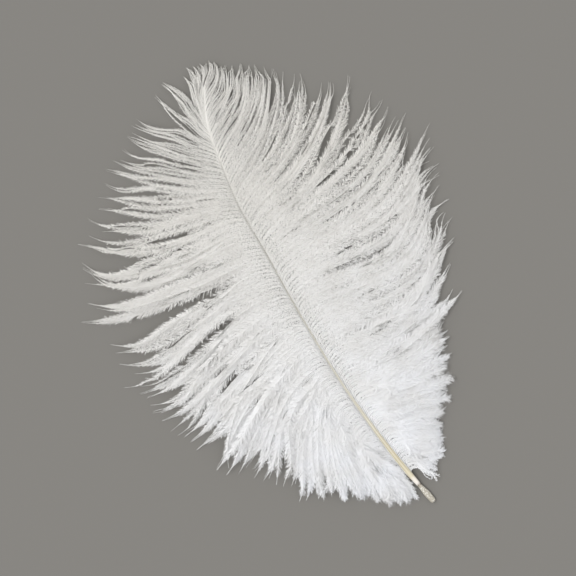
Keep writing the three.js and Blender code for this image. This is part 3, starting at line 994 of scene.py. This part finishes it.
# %% Heights
ROOT_HEIGHT = [(12, 1.6), (16, 2.4), (22, 3.1), (30, 3.5), (75, 3.4), (120, 2.7), (172, 1.75)]
ARCH = [(12, 0.6), (16, 1.2), (25, 2.3), (50, 2.3), (80, 1.7), (120, 1.2), (172, 0.5)]
WISP_LIFT = [(12, 0.3), (45, 0.45), (70, 0.35), (110, 0.45), (150, 0.3), (172, 0.15)]
ARCH_SPREAD = (0.75, 1.15)
ARCH_LEAN = 0.8  # below 1 the highest point comes before the middle of the barb
TIP_HEIGHT = (0.7, 2.2)
LIFT_SPREAD = 0.8
LIFT_STARTS = (0.05, 0.5)
BARB_LIFT = 0.2
DOWN_LIFT = (-0.6, 0.9)
STRAY_LIFT = (0.6, 1.6)
DOWN_START_DROP = 0.8
DROP_ENDS = (0.1, 0.4)
LOWEST = 0.35


def add_heights(paths, roots, leaves, lock, wisp, stray, down, rng):
    """Adds the third coordinate to the plan paths."""
    count = len(roots)
    root_height = table_at(ROOT_HEIGHT, leaves)[:, None]
    arch = (table_at(ARCH, roots) * rng.uniform(*ARCH_SPREAD, count))[:, None]
    tip_height = rng.uniform(*TIP_HEIGHT, wisp.max() + 1)[wisp][:, None]
    lift = rng.normal(0, LIFT_SPREAD, wisp.max() + 1)[wisp] + rng.normal(0, LIFT_SPREAD, lock.max() + 1)[lock]
    lift = (lift * table_at(WISP_LIFT, roots))[:, None]
    lift = lift + rng.normal(0, BARB_LIFT, count)[:, None] + (down * rng.uniform(*DOWN_LIFT, count))[:, None]
    stray_lift = np.where(stray, rng.uniform(*STRAY_LIFT, count), 0)[:, None]
    fall = smooth(0, 1, share_along)[None, :]
    height = root_height * (1 - fall) + tip_height * fall
    height = height + arch * np.sin(np.pi * share_along[None, :] ** ARCH_LEAN)
    height = height + (lift + stray_lift) * smooth(*LIFT_STARTS, share_along)[None, :]
    height = height - DOWN_START_DROP * down[:, None] * (1 - smooth(*DROP_ENDS, share_along))[None, :]
    return np.concatenate([paths, np.maximum(height, LOWEST)[:, :, None]], axis=2)


print("height at the shaft at 30 mm and near the tip:", table_at(ROOT_HEIGHT, [30, 170]).round(2))

# %% [markdown]
# ## Making the mesh of a barb
#
# The ramus is a stem of solid keratin that tapers to nothing. It shows as a fine comb beside the shaft, and
# sinks among the barbules farther out. Three sides are enough for a tube that is less than half a millimetre
# thick, and they keep the count of triangles low.

# %% The ramus
RAMUS_RADIUS = [(0, 0.19), (0.04, 0.14), (0.12, 0.09), (0.3, 0.06), (0.85, 0.06), (0.95, 0.045), (1, 0.015)]
RAMUS_FACTOR = [(12, 1.0), (130, 1.0), (150, 1.3), (172, 1.2)]
RAMUS_SINK = 0.15
CORNERS = 3
SINK_STARTS = (0.08, 0.25)


def ramus_mesh(paths, roots):
    """Three-sided tapering tubes along the paths: vertices and triangles."""
    count, stations, _ = paths.shape
    tangent = np.gradient(paths, axis=1)
    tangent /= np.linalg.norm(tangent, axis=2)[:, :, None]
    sideways = np.cross(tangent, [0, 0, 1.0])
    sideways /= np.linalg.norm(sideways, axis=2)[:, :, None]
    upwards = np.cross(sideways, tangent)
    middle = paths.copy()
    middle[:, :, 2] -= RAMUS_SINK * smooth(*SINK_STARTS, share_along)
    radius = table_at(RAMUS_FACTOR, roots)[:, None] * table_at(RAMUS_RADIUS, share_along)[None, :]
    radius = radius[:, :, None]
    rings = []
    for corner in range(CORNERS):
        angle = np.pi / 2 + 2 * np.pi * corner / CORNERS
        rings.append(middle + (sideways * np.cos(angle) + upwards * np.sin(angle)) * radius)
    vertices = np.stack(rings, axis=2).reshape(-1, 3)
    index = np.arange(count * stations * CORNERS).reshape(count, stations, CORNERS)
    a, b = index[:, :-1], index[:, 1:]
    a_next, b_next = np.roll(a, -1, axis=2), np.roll(b, -1, axis=2)
    first = np.stack([a, b, b_next], -1).reshape(-1, 3)
    second = np.stack([a, b_next, a_next], -1).reshape(-1, 3)
    ends = np.concatenate([index[:, 0], index[:, -1, ::-1]])
    return vertices, np.concatenate([first, second, ends])


print("thickness of a ramus at its root and its middle, mm:", 2 * table_at(RAMUS_RADIUS, [0, 0.5]))


# %% [markdown]
# A barbule is one needle-thin triangle, because it is far finer than a pixel. They are drawn several times as
# thick and as far apart as real ones, which gives the same cover. Loose barbules cling together in tufts
# about half a millimetre wide, and that is the herringbone grain that the eye sees. So those of one tuft
# share their slant, their length and their tilt, and their tips are drawn together. Flat strips with a hair
# pattern would be cheaper, but their edges would look cut.
#
# The tufts are long and crowded at the downy base and short towards the tip, where single barbs show. Both
# rows of a barb slope down from it like the two sides of a gable, so they catch the light differently, and
# every barb stands out from the next.

# %% The sizes of the barbules
BARBULE_LENGTH = [(12, 0.7), (16, 1.3), (21, 2.8), (45, 3.4), (70, 2.9), (100, 2.4), (125, 1.9), (138, 1.2),
                  (150, 0.75), (172, 0.4)]
LENGTH_AT_TIP = [(12, 0.85), (45, 0.75), (65, 0.6), (90, 0.5), (172, 0.5)]
BARE_TIP = [(12, 0.3), (45, 1.0), (60, 3.0), (75, 5.0), (115, 5.0), (140, 3.0), (160, 1.2), (172, 0.8)]
SWEEP_ALONG_BARB = [(0, 50), (0.3, 42), (0.7, 36), (0.9, 26), (1, 12)]
TUFT_LENGTH = 0.55
TUFT_TURN = 9.0
CLING = 0.4
GABLE = -0.3  # how far a needle falls on its length
COMB_STRETCH = [(12, 1.6), (45, 1.3), (80, 1.0)]
NEEDLE_REACH = (0.45, 1.15)
NEEDLE_TURN = 8
NEEDLE_LIFT = 0.08
TUFT_LENGTHS = (0.6, 1.4)
TUFT_LENGTH_SPREAD = 0.16
TUFT_LIFT = 0.1
TIP_THINS = (0.72, 0.92)
BARE_LEFT = 0.12
BARE_ENDS = (0.5, 2.0)
TILT_SPREAD = 0.1
TURNED = 0.5
print("barbule length at the base, middle and tip, mm:", table_at(BARBULE_LENGTH, [45, 100, 170]).round(2))

# %% [markdown]
# There are two layers of needles. The fine ones are what the eye sees. Below them lies a sparser layer of
# wide ones, which stand for the many that the fine ones leave out, so that the surface doesn't shine
# through. A barb is almost bare beside the shaft, so "near root" holds the longest needle at each distance
# along it.

# %% The two layers of needles
FINE = {
    "spacing": [(12, 0.09), (60, 0.085), (90, 0.085), (130, 0.09), (172, 0.08)],
    "width": [(12, 0.1), (60, 0.09), (110, 0.08), (172, 0.06)],
    "near root": [(0, 0.4), (3, 0.6), (6, 1.1), (9, 2.2), (13, 4.0)],
    "tilt": [(12, 0.12), (60, 0.2), (110, 0.25), (172, 0.25)],
    "length": 1.0,
    "drop": 0.0,
}
WIDE = {
    "spacing": [(12, 0.26), (60, 0.32), (100, 0.36), (130, 0.38), (150, 0.6), (172, 0.9)],
    "width": [(12, 0.3), (60, 0.3), (110, 0.32), (150, 0.28), (172, 0.18)],
    "near root": [(0, 1.0), (3, 1.1), (6, 1.6), (9, 2.6), (12, 4.0)],
    "tilt": [(12, 0.05), (172, 0.15)],
    "length": 0.85,
    "drop": 0.4,
}
LOWEST_NEEDLE = 0.08
for kind in (FINE, WIDE):
    print("mm of barb to a needle:", round(float(table_at(kind["spacing"], 60)), 3))


# %% Where the needles are rooted
WAY_STEP = 0.4


def points_on(path, length, at):
    """Points at distances along a path, and the unit direction of the path there."""
    def place(where):
        return np.stack([np.interp(where, length, path[:, k]) for k in range(3)], -1)

    way = place(at + WAY_STEP) - place(at - WAY_STEP)
    return place(at), way / (np.linalg.norm(way, axis=1)[:, None] + 1e-9)


def needle_roots(paths, roots, spacings, rng):
    """Six arrays with a row for each needle.

    They are its base and the direction of its barb, the same two for the heart of its tuft, four random
    numbers of its tuft, and last its distance along the barb, the barb's length, its root and its side.
    """
    steps = np.linalg.norm(np.diff(paths, axis=1), axis=2)
    lengths = np.concatenate([np.zeros((len(paths), 1)), np.cumsum(steps, axis=1)], axis=1)
    parts = []
    for path, length, root in zip(paths, lengths, roots):
        spacing = table_at(spacings, root)
        number = int(length[-1] / spacing)
        for side in (-1, 1):
            at = (np.arange(number) + rng.uniform(0, 1, number)) * spacing
            phase = rng.uniform()
            tuft = (at / TUFT_LENGTH + phase).astype(int)
            heart = np.clip((tuft + 0.5 - phase) * TUFT_LENGTH, 0, length[-1])
            chance = rng.normal(0, 1, (tuft.max() + 1, 4))
            chance[:, 3] = 0.5 * chance[:, 3] + rng.normal(0, 1)
            where = np.column_stack([at, *(np.full(number, value) for value in (length[-1], root, side))])
            parts.append(np.column_stack([*points_on(path, length, at), *points_on(path, length, heart),
                                          chance[tuft], where]))
    return np.split(np.concatenate(parts), [3, 6, 9, 12, 16], axis=1)


print("tufts on 10 mm of a barb, on each side:", round(10 / TUFT_LENGTH))


# %% [markdown]
# Where the barbs part at a slit, the needles beside it would still reach across and close it. Real ones hang
# on their own barb there. So the ends that lie in a slit are moved back to the side of their barb. They don't
# all stop at one line, so the slit keeps a ragged edge.

# %% Keeping the slits clear
SLIT_RAGGED = 1.1
SLIT_FAR_END = 1.5
SLIT_TOO_DEEP = 4
FOLD_SHARE = 0.7  # of its own length that a needle's end may move


def fold_back(base, end, slits, rng):
    """Moves the barbules' ends that lie in a slit out of it, to the side that their barb is on."""
    for middle, half in slits:
        low, high = middle.min(axis=0) - 1, middle.max(axis=0) + 1
        near = np.flatnonzero(((end[:, :2] > low) & (end[:, :2] < high)).all(axis=1))
        if len(near) == 0:
            continue
        apart = end[near, None, :2] - middle[None]
        place = np.argmin((apart**2).sum(axis=2), axis=1)
        way = np.gradient(middle, axis=0)
        way /= np.linalg.norm(way, axis=1)[:, None] + 1e-9
        across = np.stack([way[:, 1], -way[:, 0]], -1)[place]
        apart = apart[np.arange(len(near)), place]
        beyond = np.abs((apart * way[place]).sum(axis=1)) > SLIT_FAR_END
        own_side = np.sign(((base[near, :2] - middle[place]) * across).sum(axis=1))
        clear = half[place] * rng.uniform(0, SLIT_RAGGED, len(near))
        missing = clear - own_side * (apart * across).sum(axis=1)
        most = FOLD_SHARE * np.linalg.norm(end[near, :2] - base[near, :2], axis=1)
        missing = np.where(beyond | (missing > SLIT_TOO_DEEP), 0, np.clip(missing, 0, most))
        end[near, :2] += (own_side * missing)[:, None] * across


print("most that an end moves at 60 mm, about, mm:", round(FOLD_SHARE * table_at(BARBULE_LENGTH, 60), 1))


# %% [markdown]
# Half of the needles are turned round, with their wide end outside. If all of them pointed outwards, a row
# would be dense beside its barb and thin at its edge. Turned like this, it is as dense at both and still ends
# in a soft ragged edge.

# %% The barbules


def barbule_mesh(paths, roots, slits, kind, rng):
    """Two rows of needles beside every path: vertices and triangles."""
    base, way, heart, heart_way, chance, where = needle_roots(paths, roots, kind["spacing"], rng)
    at, whole, root, side = where.T
    share, left = at / whole, whole - at
    count = len(base)

    near_tip = 1 - (1 - table_at(LENGTH_AT_TIP, root)) * smooth(*TIP_THINS, share)
    near_tip *= BARE_LEFT + (1 - BARE_LEFT) * smooth(*BARE_ENDS, left / table_at(BARE_TIP, root))
    near_root = table_at(kind["near root"], at * table_at(COMB_STRETCH, root))
    usual = np.minimum(table_at(BARBULE_LENGTH, root) * near_tip, near_root) * kind["length"]
    sweep = table_at(SWEEP_ALONG_BARB, share) + TUFT_TURN * chance[:, 0]
    lift = GABLE + TUFT_LIFT * chance[:, 2]

    def apex(start, direction, length, degrees, rise):
        angle = np.radians(degrees)[:, None]
        sideways = np.stack([direction[:, 1], -direction[:, 0], np.zeros(count)], -1) * side[:, None]
        slanted = direction * np.cos(angle) + sideways * np.sin(angle)
        slanted[:, 2] += rise
        return start + slanted * length[:, None]

    tuft_length = usual * np.clip(1 + TUFT_LENGTH_SPREAD * chance[:, 1], *TUFT_LENGTHS)
    own = apex(base, way, tuft_length * rng.uniform(*NEEDLE_REACH, count),
               sweep + rng.normal(0, NEEDLE_TURN, count), lift + rng.normal(0, NEEDLE_LIFT, count))
    shared = apex(heart, heart_way, tuft_length, sweep, lift)
    end = own + (shared - own) * CLING
    fold_back(base, end, slits, rng)
    tilt = table_at(kind["tilt"], root) * chance[:, 3] + rng.uniform(-TILT_SPREAD, TILT_SPREAD, count)
    half = 0.5 * table_at(kind["width"], root)[:, None] * (way + np.array([0, 0, 1.0]) * tilt[:, None])
    turned = (rng.random(count) < TURNED)[:, None]
    base, end = np.where(turned, end, base), np.where(turned, base, end)
    half = np.where(turned, -half, half)
    vertices = np.stack([base - half, base + half, end], axis=1)
    vertices[:, :, 2] = np.maximum(vertices[:, :, 2] - kind["drop"], LOWEST_NEEDLE)
    triangles = np.arange(count * 3).reshape(-1, 3)
    triangles[side < 0] = triangles[side < 0][:, ::-1]
    return vertices.reshape(-1, 3), triangles


trial_barb = np.concatenate([long_barb, np.ones((1, STATIONS, 1))], axis=2)
trial_mesh = barbule_mesh(trial_barb, np.array([102.0]), [], FINE, np.random.default_rng(0))
print("fine needles on the longest left barb:", len(trial_mesh[1]))


# %% [markdown]
# ### The finish of the barbs
#
# Barbs and barbules are undyed keratin as it grew, matt because their fibres scatter light. The down at the
# base is a clean, slightly cool white, and the vane turns a little creamier towards the tip. Faint cloudy
# patches about a centimetre wide break up the white.
#
# Stems and barbules have the same recipe with other numbers, since the stems are smoother and a little
# glossier. The patches lie on the plan and not in space, so that the layers of a vane share them.

# %% Undyed keratin for the barbs
PLAN_FLAT = (1, 1, 0)
WHITE_UNTIL, CREAM_FROM = (to_frame([0, along, 0])[1] for along in (20, 130))
PATCH = 0.01  # m across a cloudy patch
PATCH_FADE = {"From Min": 0.35, "From Max": 0.65, "To Max": 0.35}


def barb_material(name, base_hex, tip_hex, roughness, specular):
    """Keratin that goes from one white at the base to another at the tip, with cloudy patches."""
    material, shader = new_material(name, roughness, specular)
    place = add_node(material, "ShaderNodeTexCoord").outputs["Object"]
    parts = add_node(material, "ShaderNodeSeparateXYZ", links={"Vector": place})
    towards_tip = add_node(material, "ShaderNodeMapRange", {"From Min": WHITE_UNTIL, "From Max": CREAM_FROM},
                           {"Value": parts.outputs["Y"]})
    flat = add_node(material, "ShaderNodeMapping", {"Scale": PLAN_FLAT}, {"Vector": place})
    clouds = add_node(material, "ShaderNodeTexNoise", {"Scale": 1 / PATCH, "Detail": 2.0}, {"Vector": flat})
    base = add_node(material, "ShaderNodeMix", {"data_type": "RGBA", 6: colour(base_hex), 7: colour(tip_hex)},
                    {0: towards_tip})
    shade = add_node(material, "ShaderNodeMapRange", PATCH_FADE, {"Value": clouds})
    patched = add_node(material, "ShaderNodeMix", {"data_type": "RGBA", 7: colour("#DEDCD8")},
                       {0: shade, 6: base.outputs[2]})
    material.node_tree.links.new(patched.outputs[2], shader.inputs["Base Color"])
    return material


ramus_keratin = barb_material("undyed ramus keratin", "#F4F4F5", "#EBE9E4", 0.5, 0.4)
barbule_keratin = barb_material("undyed barbule keratin", "#F2F3F6", "#E8E6E2", 0.75, 0.2)

# %% [markdown]
# ## The vanes
#
# Now each vane is grown: first the plan of all its barbs, then the waves, the comb, the strays and the slits,
# then the heights, and last the meshes. Downy barbs lie over and under the slits, so they aren't pushed. A
# vane is split along the shaft in five pieces, so that none of them is too heavy to open and edit.

# %% The vanes
ZONES = [(0, 30), (30, 56), (56, 82), (82, 108), (108, 180)]
SEED = 7

for side, node, rows, slits in (
    (-1, "left_vane", LEFT_WISPS, LEFT_SLITS),
    (1, "right_vane", RIGHT_WISPS, RIGHT_SLITS),
):
    rng = np.random.default_rng(SEED + side)
    paths, roots, wisp, down, gather = barb_paths(side, rows, rng)
    lock = locks_of(paths, roots, slits, rng)
    add_waves(paths, roots, lock, wisp, down, gather, rng)
    leaves = leaves_at(side, roots)
    add_comb(paths, leaves, rng)
    stray = add_strays(paths, rng)
    closed = paths[~down]
    slits = add_slits(closed, side, roots[~down], wisp[~down], slits, rng)
    paths[~down] = closed
    paths = add_heights(paths, roots, leaves, lock, wisp, stray, down, rng)
    print(node, "barbs:", len(roots))
    for number, (low, high) in enumerate(ZONES):
        here = (roots >= low) & (roots < high)
        barbules = [barbule_mesh(paths[here], roots[here], slits, kind, rng) for kind in (FINE, WIDE)]
        sheets = [ramus_mesh(paths[here], roots[here]), *barbules]
        finishes = [ramus_keratin, barbule_keratin, barbule_keratin]
        piece = make_piece(f"{node}_barbs_{number + 1}", sheets, finishes)
        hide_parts(node)
        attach(piece, "root")

# %% [markdown]
# ## The surface, the camera and the light
#
# The plume lies on a plain sheet of paper, uncoated and so quite matt. A pale sheet would hide the white
# wisps and the gaps between them, so this one is mid grey. The camera looks straight down on it from 0.9 m,
# turned so that the shaft runs up and to the left.

# %% The surface
FLOOR_HALF = 2.0
paper, paper_shader = new_material("grey paper", 0.9, 0.2)
paper_shader.inputs["Base Color"].default_value = colour("#73716D")
floor_mesh = bpy.data.meshes.new("floor")
corners = [(x * FLOOR_HALF, y * FLOOR_HALF, 0) for x, y in ((-1, -1), (1, -1), (1, 1), (-1, 1))]
floor_mesh.from_pydata(corners, [], [(0, 1, 2, 3)])
floor = bpy.data.objects.new("floor", floor_mesh)
bpy.context.scene.collection.objects.link(floor)
floor_mesh.materials.append(paper)
print("floor, m:", 2 * FLOOR_HALF)

# %% Camera
PLAN_CENTRE = (-11.17, 93.16)
FRAME_WIDTH = 211.1  # mm of the plan across the camera's frame
ROLL = -27.66
DISTANCE = 900.0
SENSOR = 36
camera_data = bpy.data.cameras.new("camera")
camera_data.sensor_width = SENSOR
camera_data.lens = SENSOR * DISTANCE / FRAME_WIDTH
camera = bpy.data.objects.new("camera", camera_data)
camera.location = to_frame([*PLAN_CENTRE, DISTANCE])
camera.rotation_euler = (0, 0, np.radians(ROLL))
camera_data.clip_start = 0.01
bpy.context.scene.collection.objects.link(camera)
bpy.context.scene.camera = camera
print("lens, mm:", round(camera_data.lens, 1))

# %% [markdown]
# The light is a large soft window at the upper left and the bright walls of a white room. A sun lamp with a
# wide angle gives equally soft shadows everywhere, and a lit world fills them.

# %% Light
WINDOW_FROM = (-0.62, 0.3, 1.35)
WINDOW_ANGLE = 30
WINDOW_STRENGTH = 1.8
ROOM_STRENGTH = 0.88
light_data = bpy.data.lights.new("large window", "SUN")
light_data.angle = np.radians(WINDOW_ANGLE)
light_data.energy = WINDOW_STRENGTH
light = bpy.data.objects.new("large window", light_data)
light.location = WINDOW_FROM
light.rotation_euler = Vector(WINDOW_FROM).to_track_quat("Z", "Y").to_euler()
bpy.context.scene.collection.objects.link(light)

world = bpy.data.worlds.new("studio")
bpy.context.scene.world = world
world.use_nodes = True
room = world.node_tree.nodes["Background"]
room.inputs["Color"].default_value = colour("#FFFFFF")
room.inputs["Strength"].default_value = ROOM_STRENGTH
bpy.context.scene.view_settings.view_transform = "Standard"
print("window and room:", WINDOW_STRENGTH, ROOM_STRENGTH)
